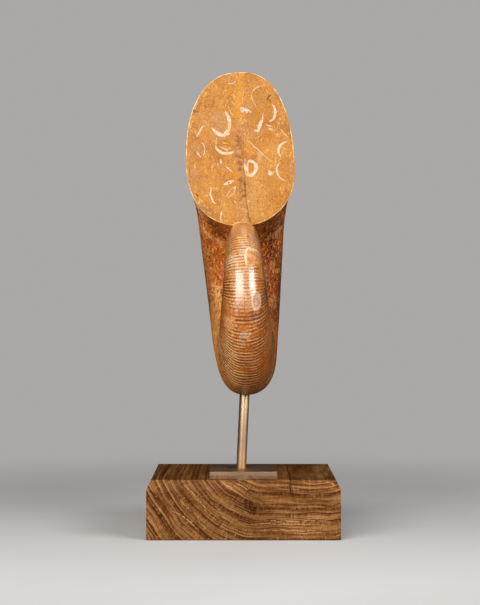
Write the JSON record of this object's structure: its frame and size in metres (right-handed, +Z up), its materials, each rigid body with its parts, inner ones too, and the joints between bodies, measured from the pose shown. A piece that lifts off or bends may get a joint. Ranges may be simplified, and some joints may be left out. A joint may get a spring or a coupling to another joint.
{
  "type": "ammonite fossil on stand",
  "caption": "Polished coiled ammonite with a sawn flat mouth, held upright by a thin metal rod on a square metal plate and a chamfered wooden block.",
  "frame": {"origin": "centre of the oak block's underside", "axes": "+Z up along the height; -Y is the front, where the sawn mouth of the shell and the block's end grain face; +X to the right as seen from the front"},
  "size_m": [0.15, 0.1902, 0.3668],
  "materials": {
    "fossil_stone": "polished rusty brown shell with a golden sawn face",
    "rod_metal": "satin, pale champagne",
    "plate_metal": "satin, pale champagne",
    "oak": "satin varnished oak, end grain at the front"
  },
  "bodies": {
    "root": {"ammonite": "fossil_stone", "support_rod": "rod_metal", "base_plate": "plate_metal", "oak_block": "oak"}
  },
  "joints": []
}
